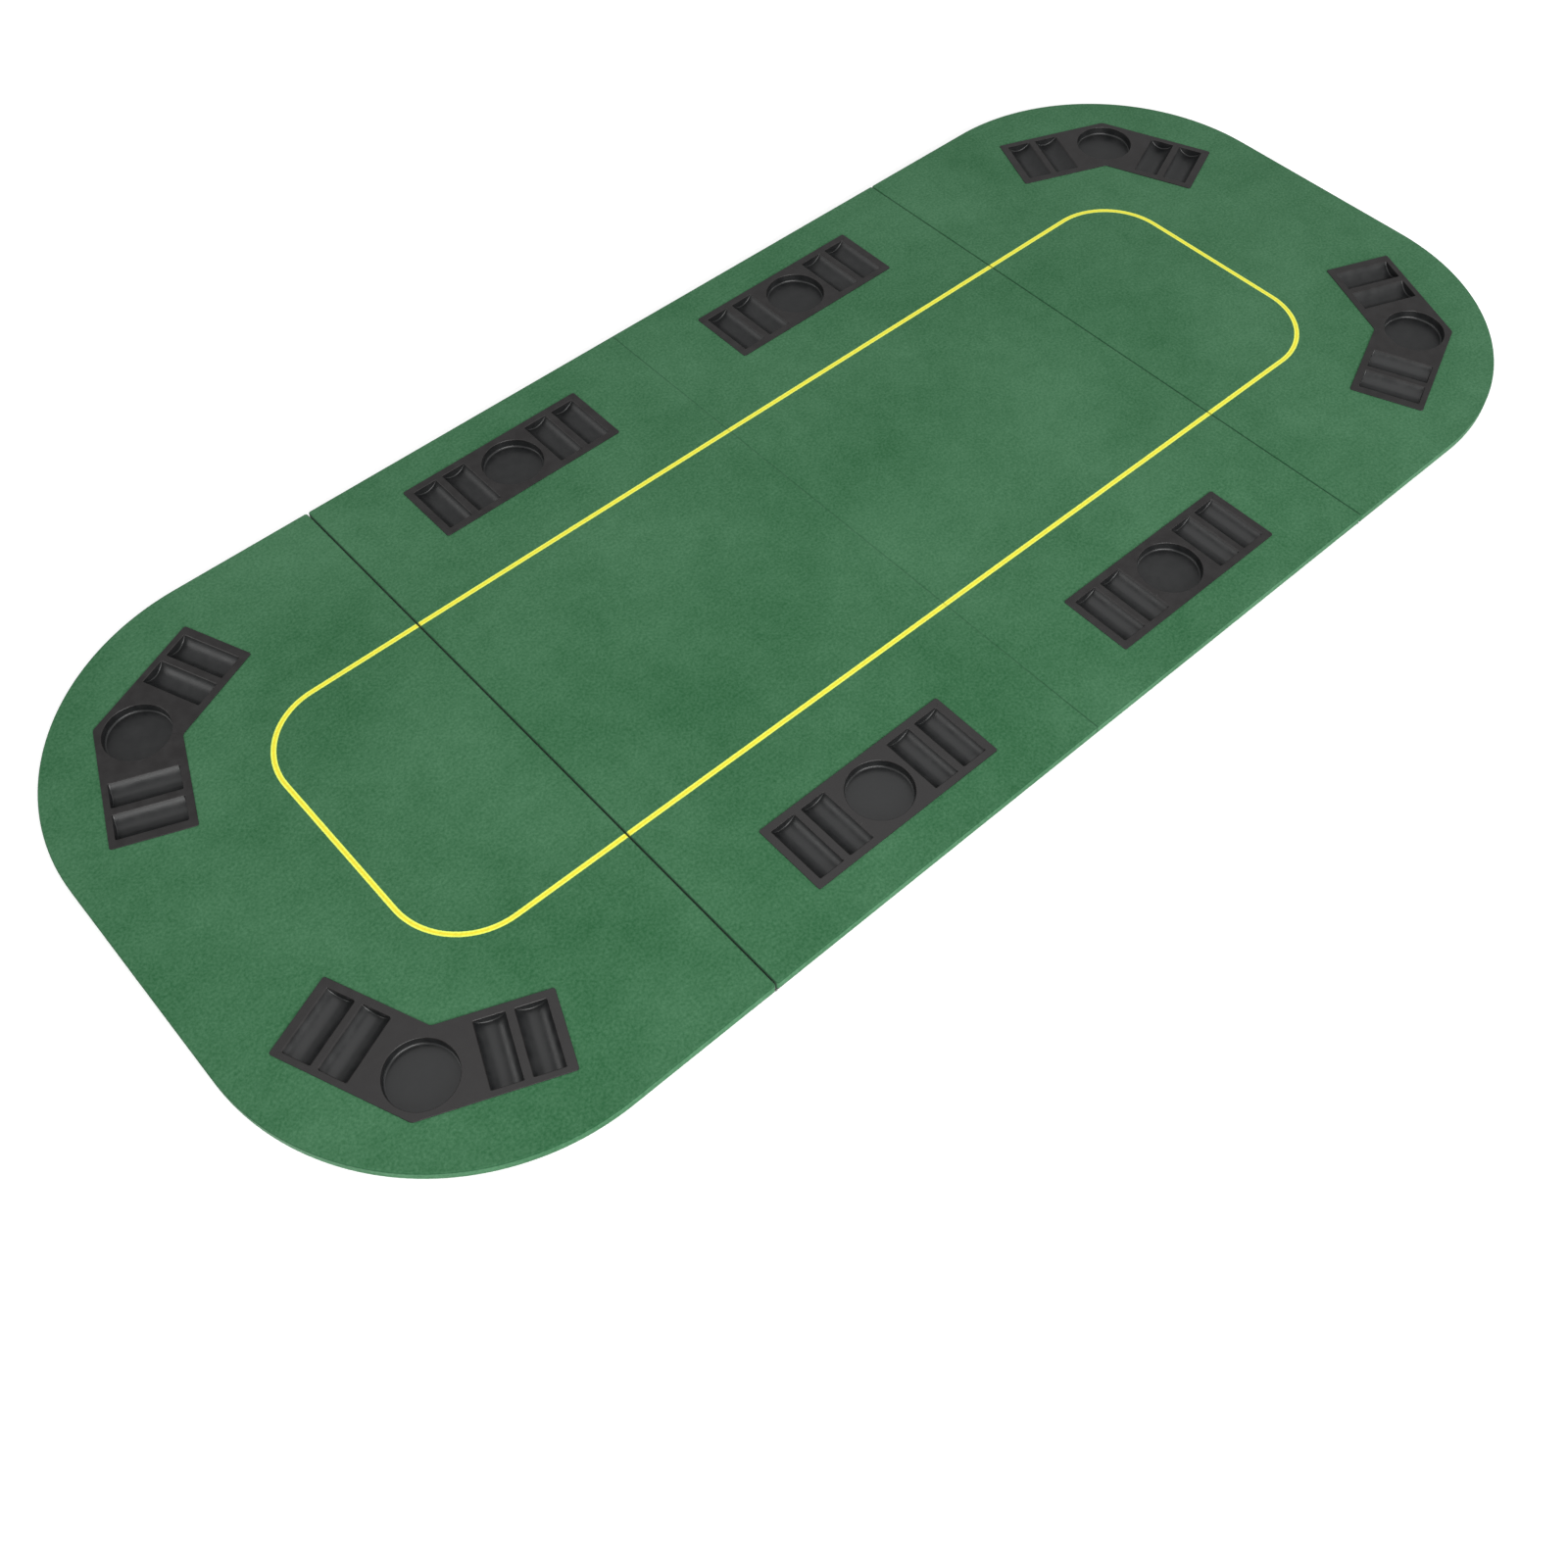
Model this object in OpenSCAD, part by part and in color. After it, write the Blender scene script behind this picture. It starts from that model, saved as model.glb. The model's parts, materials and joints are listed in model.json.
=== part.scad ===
// Folding card table top: four felt-covered boards that fold in a zigzag.
// Millimetres. +X runs along the table, +Z is up, and z = 0 is the surface that the feet stand on.
// The origin is under the middle of the open table.

/* [Table] */
// Length of the open table top
table_l = 2006.6; // [1980:0.2:2040]
// Width of the table top
table_w = 914; // [900:1:930]
// Radius of the four outer corners
corner_r = 307; // [290:1:320]
// Thickness of the fibreboard
board_t = 12; // [11:0.5:16]
// Thickness of the felt
felt_t = 0.7; // [0.5:0.1:0.9]
// Open gap at the left metal-hinged seam
gap_left = 1.8; // [0.6:0.1:2.4]
// Crease gap at the middle seam, bridged by felt
gap_middle = 0.6; // [0.4:0.1:1]
// Closed gap at the right metal-hinged seam
gap_right = 0.6; // [0.6:0.1:2.4]
// Radius of the small board corners at the metal-hinged seams
seam_corner_r = 3.5; // [2:0.5:6]
// Width of the felt that is folded under and stapled
hem_w = 38; // [36:1:40]

/* [Trays] */
// Length of a straight tray's flange
tray_l = 280; // [276:1:290]
// Width of a straight tray's flange
tray_w = 102; // [100:1:106]
// Thickness of the flange and of the tray walls
tray_t = 1.2; // [0.8:0.1:1.5]
// Radius of the cup holder
cup_r = 41; // [38:0.5:42]
// Depth of the cup holder below the flange's top
cup_d = 12; // [8:0.5:12]
// Radius of a chip slot's round bottom
chip_r = 20; // [19.5:0.5:20.5]
// Depth of a chip slot below the flange's top
chip_d = 11; // [9:0.5:11]
// Length of a chip slot, across the tray
chip_l = 82; // [76:1:84]
// Distance between neighbouring chip slots
chip_pitch = 45; // [43:1:46]
// Straight tray: from the middle of the cup to the first chip slot
chip_first = 67; // [66:1:68]
// Distance from a straight tray's middle to the table's long centre line
tray_y = 351; // [346:1:356]
// Corner tray: from the bend to the end of each leg
leg_l = 154.5; // [152:0.5:160]
// Corner tray: width of each leg's flange
leg_w = 99.6; // [99.2:0.2:102]
// Corner tray: how far the bend lies inside the middle of the cup
bend_shift = 1; // [0:0.2:1.2]
// Corner tray: from the middle of the cup to the first chip slot
leg_chip_first = 81; // [79.5:0.5:82]
// Corner tray: from the middle of the cup to the table's outer end
cup_from_end = 162.5; // [160:0.5:170]
// Corner tray: from the middle of the cup to the table's long side
cup_from_side = 166.5; // [164:0.5:172]
// Width of the flange that rests on the felt
flange_lip = 6; // [5:0.5:7]

/* [Hinges] */
// Length of a hinge along the seam
hinge_l = 76; // [70:1:80]
// Width of one hinge leaf, from the pin
leaf_w = 35; // [32:1:36]
// Thickness of a hinge leaf
leaf_t = 0.8; // [0.6:0.1:0.9]
// Outer radius of the hinge knuckles
knuckle_r = 1.5; // [1.4:0.05:1.55]
// Radius of the hinge pin
pin_r = 0.75; // [0.6:0.05:0.8]
// Clearance between a hinge pin and its knuckles
pin_gap = 0.05; // [0.02:0.01:0.08]
// Distance from the end of an outer hinge to the table's edge
hinge_inset = 0.4; // [0.2:0.1:6]

/* [Feet] */
// Height of the rubber feet
foot_h = 4.4; // [4.2:0.1:5]
// Radius of the rubber feet
foot_r = 12.5; // [10:0.5:14]

/* [Hidden] */
$fn = 72;
EPS = 0.01;

// Heights of the faces, from the feet up
hem_z = foot_h - felt_t;
board_z = foot_h;
board_top_z = board_z + board_t;
felt_top_z = board_top_z + felt_t;
tray_top_z = felt_top_z + tray_t;
leaf_z = hem_z - leaf_t;
// The pin stands a little below the leaves, so folded boards lie flat and clear of the feet
pin_z = leaf_z - 1;

// The boards share what the three gaps leave of the length
panel_l = (table_l - gap_left - gap_middle - gap_right) / 4;
left_seam_x = -table_l / 2 + panel_l + gap_left / 2;
middle_seam_x = left_seam_x + gap_left / 2 + panel_l + gap_middle / 2;
right_seam_x = middle_seam_x + gap_middle / 2 + panel_l + gap_right / 2;

// Straight and bent trays
cut_corner_r = 6;
tray_corner_r = 3;
leg_angle = 112.5;
hole_w = tray_w - 2 * flange_lip;
hole_l = tray_l - 2 * flange_lip;
hole_leg_l = leg_l - flange_lip;
hole_leg_w = leg_w - 2 * flange_lip;

// Cloth hinge under the felt of the middle seam
tape_w = 28;
tape_t = 0.5;
tape_inset = 5;

// Hinge knuckles, alternate ones on each leaf
knuckle_count = 5;
knuckle_pitch = hinge_l / knuckle_count;
knuckle_gap = 0.3;
knuckle_clear = 0.4;

// Screws: [distance from the pin, place along the hinge]
SCREW_PLACES = [[12, -26], [24, 0], [12, 26]];
screw_r = 1.25;
screw_l = 10.5;
screw_head_r = 2.5;
screw_neck_r = 1.7;
screw_gap = 0.05;
pilot_r = 1;
recess_w = 0.5;
recess_l = 2.6;
recess_d = 0.4;

// Feet: [distance from the hinged seam, distance from the long centre line]
MID_FEET = [[70, 250], [430, 250]];
END_FEET = [[70, 150], [430, 60]];
foot_taper_h = 1.2;
foot_taper = 1;

// Staples through the hem
staple_l = 10;
staple_w = 0.9;
staple_t = 0.4;
staple_leg = 5;
staple_inset = 29;
staple_pitch = 80;

FELT = [0.26, 0.47, 0.33];
WOOD = [0.68, 0.55, 0.4];
PLASTIC = [0.16, 0.16, 0.17];
STEEL = [0.72, 0.73, 0.74];
RUBBER = [0.08, 0.08, 0.08];
CLOTH = [0.85, 0.84, 0.8];

// ---- Where things go ----

// Each panel is drawn from its metal-hinged seam outwards, along its own +X.
module at_panel(place) {
  gap = (place == "end_left" || place == "mid_left") ? gap_left : gap_right;
  seam = (place == "end_left" || place == "mid_left") ? left_seam_x : right_seam_x;
  way = (place == "end_left" || place == "mid_right") ? -1 : 1;
  translate([seam + way * gap / 2, 0, 0])
    if (way > 0) children();
    else mirror([1, 0, 0]) children();
}

// The pin's place, seen from a panel's own seam edge
function pin_x(place) = -((place == "end_left" || place == "mid_left") ? gap_left : gap_right) / 2;

function is_end(place) = place == "end_left" || place == "end_right";

function hinge_y(spot) =
  (spot == "near") ? -(table_w - hinge_l) / 2 + hinge_inset
  : (spot == "far") ? (table_w - hinge_l) / 2 - hinge_inset
  : 0;

module on_side(side) {
  if (side > 0) children();
  else mirror([0, 1, 0]) children();
}

// ---- Outlines ----

// A plate from x0 to x1 with rounded corners, each end with its own radius
module plate_2d(x0, x1, w, r0, r1) {
  intersection() {
    translate([x0, -w / 2]) square([x1 - x0, w]);
    union() {
      translate([x0 + r0, -w / 2]) square([x1 - x0 - r0 - r1, w]);
      round_end_2d(x0 + r0, -r0, w, r0);
      round_end_2d(x1 - r1, r1, w, r1);
    }
  }
}

// One end of a plate: from x it reaches out by reach, between two round corners
module round_end_2d(x, reach, w, r) {
  if (r > 0) {
    translate([min(x, x + reach), r - w / 2]) square([r, w - 2 * r]);
    for (side = [-1, 1]) translate([x, side * (w / 2 - r)]) circle(r);
  }
}

// A panel's outline, drawn in by inset on every edge but the cloth-hinged one
module panel_2d(end, inset) {
  small_r = max(seam_corner_r - inset, 0);
  if (end) plate_2d(inset, panel_l - inset, table_w - 2 * inset, small_r, corner_r - inset);
  else plate_2d(inset, panel_l, table_w - 2 * inset, small_r, 0);
}

// A point on a bent tray: u along the leg, v towards the inside of the bend
function leg_point(u, v, side) = [
  u * cos(leg_angle) - v * sin(leg_angle) - bend_shift,
  side * (u * sin(leg_angle) + v * cos(leg_angle))
];

// A bent tray's outline round its cup's middle, with the outer point of the bend towards +X
function bent_outline(w, leg) =
  let (point = w / 2 / sin(leg_angle)) [
    [point - bend_shift, 0],
    leg_point(leg, -w / 2, 1),
    leg_point(leg, w / 2, 1),
    [-point - bend_shift, 0],
    leg_point(leg, w / 2, -1),
    leg_point(leg, -w / 2, -1)
  ];

// ---- Boards and felt ----

module at_trays(end) {
  for (side = [-1, 1]) on_side(side) at_tray(end) children();
}

// The far tray's place on a panel
module at_tray(end) {
  if (end)
    translate([panel_l - cup_from_end, table_w / 2 - cup_from_side, 0]) rotate([0, 0, 45])
      children();
  else
    translate([panel_l / 2, tray_y, 0]) children();
}

module tray_hole(end) {
  translate([0, 0, hem_z - 1]) linear_extrude(tray_top_z - hem_z + 2)
    if (end) polygon(bent_outline(hole_leg_w, hole_leg_l));
    else plate_2d(-hole_l / 2, hole_l / 2, hole_w, cut_corner_r, cut_corner_r);
}

module tape_strip(extra) {
  translate([panel_l - tape_w, tape_inset - table_w / 2, board_top_z - tape_t])
    cube([tape_w + extra, table_w - 2 * tape_inset, tape_t + extra]);
}

module board(place) {
  end = is_end(place);
  color(WOOD) at_panel(place) difference() {
    translate([0, 0, board_z]) linear_extrude(board_t) panel_2d(end, felt_t);
    at_trays(end) tray_hole(end);
    if (!end) tape_strip(1);
    at_screws(place) cylinder(r = pilot_r, h = screw_l + leaf_t);
  }
}

// The felt lies over the top, goes down the edges and turns under as a hem
module felt(place) {
  end = is_end(place);
  color(FELT) at_panel(place) difference() {
    translate([0, 0, hem_z]) linear_extrude(felt_top_z - hem_z) panel_2d(end, 0);
    translate([0, 0, board_z]) linear_extrude(board_t) panel_2d(end, felt_t);
    translate([0, 0, hem_z - 1]) linear_extrude(2) panel_2d(end, hem_w);
    if (!end) translate([panel_l - 1, felt_t - table_w / 2, board_z])
      cube([2, table_w - 2 * felt_t, board_t]);
    if (!end) translate([panel_l - 1, hem_w - table_w / 2, hem_z - 1])
      cube([2, table_w - 2 * hem_w, 2]);
    at_trays(end) tray_hole(end);
    at_screws(place) cylinder(r = screw_r + screw_gap, h = 2);
  }
}

module tape(place) {
  color(CLOTH) at_panel(place) tape_strip(0);
}

// ---- Trays ----

module chip_slot(grow) {
  translate([0, 0, tray_top_z - chip_d + chip_r]) rotate([90, 0, 0])
    cylinder(r = chip_r + grow, h = chip_l + 2 * grow, center = true);
}

module cup(grow) {
  translate([0, 0, tray_top_z - cup_d - grow]) cylinder(r = cup_r + grow, h = cup_d + grow + 1);
}

module chip_slots(end, grow) {
  if (end)
    for (side = [-1, 1], k = [0, 1]) rotate([0, 0, side * leg_angle])
      translate([leg_chip_first + k * chip_pitch, 0, 0]) chip_slot(grow);
  else
    for (side = [-1, 1], k = [0, 1])
      translate([side * (chip_first + k * chip_pitch), 0, 0]) chip_slot(grow);
}

module flange_2d(end) {
  if (end) polygon(bent_outline(leg_w, leg_l));
  else plate_2d(-tray_l / 2, tray_l / 2, tray_w, tray_corner_r, tray_corner_r);
}

// A flange with a cup holder and four chip slots hanging from it
module tray(place, side) {
  end = is_end(place);
  color(PLASTIC) at_panel(place) on_side(side) at_tray(end) difference() {
    union() {
      translate([0, 0, felt_top_z]) linear_extrude(tray_t) flange_2d(end);
      intersection() {
        union() {
          cup(tray_t);
          chip_slots(end, tray_t);
        }
        translate([-200, -200, 0]) cube([400, 400, tray_top_z - tray_t / 2]);
      }
    }
    cup(0);
    chip_slots(end, 0);
  }
}

// ---- Hinges ----

// One leaf lies under the hem, and its knuckles wrap the pin
module leaf(place, spot) {
  first = is_end(place) ? 1 : 0;
  color(STEEL) at_panel(place) translate([pin_x(place), hinge_y(spot) - hinge_l / 2, 0])
    difference() {
      union() {
        translate([knuckle_r + knuckle_clear, 0, leaf_z])
          cube([leaf_w - knuckle_r - knuckle_clear, hinge_l, leaf_t]);
        for (k = [first : 2 : knuckle_count - 1]) leaf_knuckle(k);
      }
      for (k = [first : 2 : knuckle_count - 1])
        translate([0, k * knuckle_pitch - 1, pin_z]) rotate([-90, 0, 0])
          cylinder(r = pin_r + pin_gap, h = knuckle_pitch + 2);
      for (p = SCREW_PLACES) translate([p[0], hinge_l / 2 + p[1], leaf_z])
        screw_head(screw_gap, EPS);
    }
}

module leaf_knuckle(k) {
  length = knuckle_pitch - knuckle_gap;
  translate([0, k * knuckle_pitch + knuckle_gap / 2, 0]) {
    translate([0, 0, pin_z]) rotate([-90, 0, 0]) cylinder(r = knuckle_r, h = length);
    translate([0, 0, leaf_z]) cube([knuckle_r + knuckle_clear + 1, length, leaf_t]);
  }
}

module hinge_pin(place, spot) {
  color(STEEL) at_panel(place)
    translate([pin_x(place), hinge_y(spot) - hinge_l / 2, pin_z]) rotate([-90, 0, 0])
      cylinder(r = pin_r, h = hinge_l);
}

// ---- Screws ----

module at_screws(place) {
  for (spot = ["near", "centre", "far"], p = SCREW_PLACES)
    translate([pin_x(place) + p[0], hinge_y(spot) + p[1], leaf_z]) children();
}

// A countersunk head as deep as the leaf is thick
module screw_head(grow, past) {
  translate([0, 0, -past])
    cylinder(r1 = screw_head_r + grow, r2 = screw_neck_r + grow, h = leaf_t + 2 * past);
}

module screw() {
  difference() {
    union() {
      screw_head(0, 0);
      translate([0, 0, leaf_t - EPS]) cylinder(r = screw_r, h = screw_l - 2);
      translate([0, 0, leaf_t + screw_l - 2 - EPS]) cylinder(r1 = screw_r, r2 = 0.2, h = 2);
    }
    for (turn = [0, 90]) rotate([0, 0, turn])
      translate([-recess_l / 2, -recess_w / 2, -EPS]) cube([recess_l, recess_w, recess_d]);
  }
}

module screws(place) {
  color(STEEL) at_panel(place) at_screws(place) screw();
}

// ---- Staples ----

module staple() {
  translate([-staple_l / 2, -staple_w / 2, hem_z - staple_t])
    cube([staple_l, staple_w, staple_t]);
  for (side = [-1, 1]) translate([side * (staple_l - staple_t) / 2, 0, hem_z + staple_leg / 2 - EPS])
    cube([staple_t, staple_w, staple_leg], center = true);
}

// Rows along the long sides, along the hinged seam and, on an end panel, round the outer corners
module staples(place) {
  end = is_end(place);
  side_end = end ? panel_l - corner_r : panel_l;
  bend_r = corner_r - staple_inset;
  color(STEEL) at_panel(place) for (side = [-1, 1]) on_side(side) {
    for (x = [staple_pitch : staple_pitch : side_end - staple_l])
      translate([x, table_w / 2 - staple_inset, 0]) staple();
    for (y = [staple_pitch : staple_pitch : table_w / 2 - hinge_l - staple_l])
      translate([staple_inset, y, 0]) rotate([0, 0, 90]) staple();
    if (end) {
      for (turn = [9 : 18 : 81])
        translate([panel_l - corner_r, table_w / 2 - corner_r, 0]) rotate([0, 0, -turn])
          translate([0, bend_r, 0]) staple();
      for (y = [staple_pitch / 2 : staple_pitch : table_w / 2 - corner_r])
        translate([panel_l - staple_inset, y, 0]) rotate([0, 0, 90]) staple();
    }
  }
}

// ---- Feet ----

module foot() {
  cylinder(r1 = foot_r - foot_taper, r2 = foot_r, h = foot_taper_h);
  translate([0, 0, foot_taper_h - EPS]) cylinder(r = foot_r, h = foot_h - foot_taper_h + EPS);
}

module feet(place) {
  color(RUBBER) at_panel(place)
    for (side = [-1, 1], p = is_end(place) ? END_FEET : MID_FEET)
      translate([p[0], side * p[1], 0]) foot();
}

board("end_left");  // board_end_left
board("mid_left");  // board_mid_left
board("mid_right");  // board_mid_right
board("end_right");  // board_end_right

felt("end_left");  // felt_end_left
felt("mid_left");  // felt_mid_left
felt("mid_right");  // felt_mid_right
felt("end_right");  // felt_end_right

tape("mid_left");  // tape_left
tape("mid_right");  // tape_right

tray("end_left", -1);  // tray_end_left_near
tray("end_left", 1);  // tray_end_left_far
tray("mid_left", -1);  // tray_mid_left_near
tray("mid_left", 1);  // tray_mid_left_far
tray("mid_right", -1);  // tray_mid_right_near
tray("mid_right", 1);  // tray_mid_right_far
tray("end_right", -1);  // tray_end_right_near
tray("end_right", 1);  // tray_end_right_far

leaf("end_left", "near");  // leaf_end_left_near
leaf("end_left", "centre");  // leaf_end_left_centre
leaf("end_left", "far");  // leaf_end_left_far
leaf("mid_left", "near");  // leaf_mid_left_near
leaf("mid_left", "centre");  // leaf_mid_left_centre
leaf("mid_left", "far");  // leaf_mid_left_far
leaf("mid_right", "near");  // leaf_mid_right_near
leaf("mid_right", "centre");  // leaf_mid_right_centre
leaf("mid_right", "far");  // leaf_mid_right_far
leaf("end_right", "near");  // leaf_end_right_near
leaf("end_right", "centre");  // leaf_end_right_centre
leaf("end_right", "far");  // leaf_end_right_far

hinge_pin("mid_left", "near");  // pin_left_near
hinge_pin("mid_left", "centre");  // pin_left_centre
hinge_pin("mid_left", "far");  // pin_left_far
hinge_pin("mid_right", "near");  // pin_right_near
hinge_pin("mid_right", "centre");  // pin_right_centre
hinge_pin("mid_right", "far");  // pin_right_far

screws("end_left");  // screws_end_left
screws("mid_left");  // screws_mid_left
screws("mid_right");  // screws_mid_right
screws("end_right");  // screws_end_right

staples("end_left");  // staples_end_left
staples("mid_left");  // staples_mid_left
staples("mid_right");  // staples_mid_right
staples("end_right");  // staples_end_right

feet("end_left");  // feet_end_left
feet("mid_left");  // feet_mid_left
feet("mid_right");  // feet_mid_right
feet("end_right");  // feet_end_right
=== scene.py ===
"""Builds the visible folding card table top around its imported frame: felt covers, trays and fittings."""

import json
import math

import bmesh
import bpy
from bpy.props import FloatProperty, FloatVectorProperty, IntProperty, PointerProperty
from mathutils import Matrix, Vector


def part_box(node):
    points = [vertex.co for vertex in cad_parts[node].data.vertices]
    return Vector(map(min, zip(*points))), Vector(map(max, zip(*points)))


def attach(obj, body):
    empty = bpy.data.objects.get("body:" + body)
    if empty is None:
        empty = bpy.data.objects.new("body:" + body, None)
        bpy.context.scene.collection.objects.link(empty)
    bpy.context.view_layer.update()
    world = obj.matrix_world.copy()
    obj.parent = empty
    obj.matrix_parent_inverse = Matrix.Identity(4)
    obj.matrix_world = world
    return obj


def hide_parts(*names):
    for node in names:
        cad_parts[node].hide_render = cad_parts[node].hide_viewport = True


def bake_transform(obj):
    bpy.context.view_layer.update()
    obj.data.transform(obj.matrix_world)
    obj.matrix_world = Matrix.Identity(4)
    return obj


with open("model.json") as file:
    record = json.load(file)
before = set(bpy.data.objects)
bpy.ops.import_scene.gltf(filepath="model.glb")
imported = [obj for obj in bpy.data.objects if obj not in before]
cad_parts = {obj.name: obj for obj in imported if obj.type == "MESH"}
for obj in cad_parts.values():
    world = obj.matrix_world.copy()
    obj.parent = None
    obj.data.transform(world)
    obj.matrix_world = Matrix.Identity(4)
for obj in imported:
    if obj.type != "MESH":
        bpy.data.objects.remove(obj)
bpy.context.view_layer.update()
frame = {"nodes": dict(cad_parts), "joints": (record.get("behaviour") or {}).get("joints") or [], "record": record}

bl_info = {
    "name": "Folding card table top",
    "version": (1, 0, 0),
    "blender": (4, 5, 0),
    "location": "3D View > Sidebar > Card Table",
    "description": "Dresses the frame of a folding card table top in felt, trays and fittings",
    "category": "Add Mesh",
}

MM = 0.001
TINY = 0.00001
CORNER_STEPS = 5
LARGE_CORNER_STEPS = 48

# ---- What the frame says ----

PANELS = ("end_left", "mid_left", "mid_right", "end_right")
SPOTS = ("near", "centre", "far")
SEAM = {joint["name"]: Vector(joint["pos_m"]) for joint in frame["joints"]}
CUPS = {
    mount["name"][len("cup_"):]: mount
    for mount in frame["record"]["mounts"]
    if mount["name"].startswith("cup_")
}
FIRST_CUP = CUPS["mid_left_near"]
CUP_RADIUS = FIRST_CUP["dims"]["r_mm"] * MM
CUP_DEPTH = FIRST_CUP["dims"]["length_mm"] * MM
FELT_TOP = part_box("felt_mid_left")[1][2]
BOARD_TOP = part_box("board_mid_left")[1][2]
TRAY_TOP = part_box("tray_mid_left_near")[1][2]
FELT_THICKNESS = FELT_TOP - BOARD_TOP
MIDDLE_SEAM = SEAM["fold_middle"].x


def is_end(panel):
    return panel.startswith("end")


def seam_edges(panel):
    """The X of a panel's metal-hinged edge, then the X of its other edge."""
    low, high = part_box("felt_" + panel)
    hinge = SEAM["fold_left" if panel.endswith("left") else "fold_right"].x
    return sorted((low[0], high[0]), key=lambda x: abs(x - hinge))


# ---- Sizes and colours that a user would change ----


class CoverSettings(bpy.types.PropertyGroup):
    corner_radius: FloatProperty(
        name="Corner radius",
        description="Radius of the table's four outer corners",
        default=307 * MM,
        unit="LENGTH",
    )
    seam_corner_radius: FloatProperty(
        name="Seam corner radius",
        description="Radius of the small corners beside the metal-hinged seams",
        default=3.5 * MM,
        unit="LENGTH",
    )
    edge_radius: FloatProperty(
        name="Edge rounding",
        description="How far the felt rounds over the upper edges of the boards",
        default=1.9 * MM,
        unit="LENGTH",
    )
    under_radius: FloatProperty(
        name="Lower rounding",
        description="How far the felt rounds under the lower edges of the boards",
        default=1.2 * MM,
        unit="LENGTH",
    )
    hem_width: FloatProperty(
        name="Hem width",
        description="Width of the felt that is turned under and stapled",
        default=38 * MM,
        unit="LENGTH",
    )
    bridge_half: FloatProperty(
        name="Bridge half width",
        description="Felt on each side of the middle seam that belongs to the bridge",
        default=6 * MM,
        unit="LENGTH",
    )
    crease_half: FloatProperty(
        name="Crease half width",
        description="How far from the middle seam the felt bends when the table folds",
        default=2 * MM,
        unit="LENGTH",
    )
    crease_depth: FloatProperty(
        name="Crease depth",
        description="How deep the felt sinks over the middle seam",
        default=0.4 * MM,
        unit="LENGTH",
    )
    colour: FloatVectorProperty(
        name="Felt",
        description="Colour of the felt where its nap stands up",
        default=(0.0610, 0.1680, 0.0855),
        subtype="COLOR",
    )
    dark_colour: FloatVectorProperty(
        name="Felt shade",
        description="Colour of the felt between its fibres",
        default=(0.0188, 0.0940, 0.0350),
        subtype="COLOR",
    )
    # Painted shade: this colour darkens the felt in the seams, along its rolled rim and in the crease, where shade
    # falls.
    painted_seam_shade: FloatVectorProperty(
        name="Seam shade",
        description="Colour of the felt inside the seams and along its rolled rim",
        default=(0.007, 0.038, 0.016),
        subtype="COLOR",
    )
    line_colour: FloatVectorProperty(
        name="Line edges",
        description="Colour of the betting line along its two edges",
        default=(0.84, 0.92, 0.12),
        subtype="COLOR",
    )
    core_colour: FloatVectorProperty(
        name="Line middle",
        description="Colour of the betting line along its middle",
        default=(0.86, 0.72, 0.035),
        subtype="COLOR",
    )
    line_half: FloatVectorProperty(
        name="Line half sizes",
        description="Half the length and half the width of the betting line",
        default=(750.6 * MM, 204.7 * MM),
        size=2,
        unit="LENGTH",
    )
    line_corner: FloatProperty(
        name="Line corner radius",
        description="Radius of the betting line's corners",
        default=95 * MM,
        unit="LENGTH",
    )
    line_stroke: FloatProperty(
        name="Line stroke",
        description="Width of the printed line",
        default=6.6 * MM,
        unit="LENGTH",
    )


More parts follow.
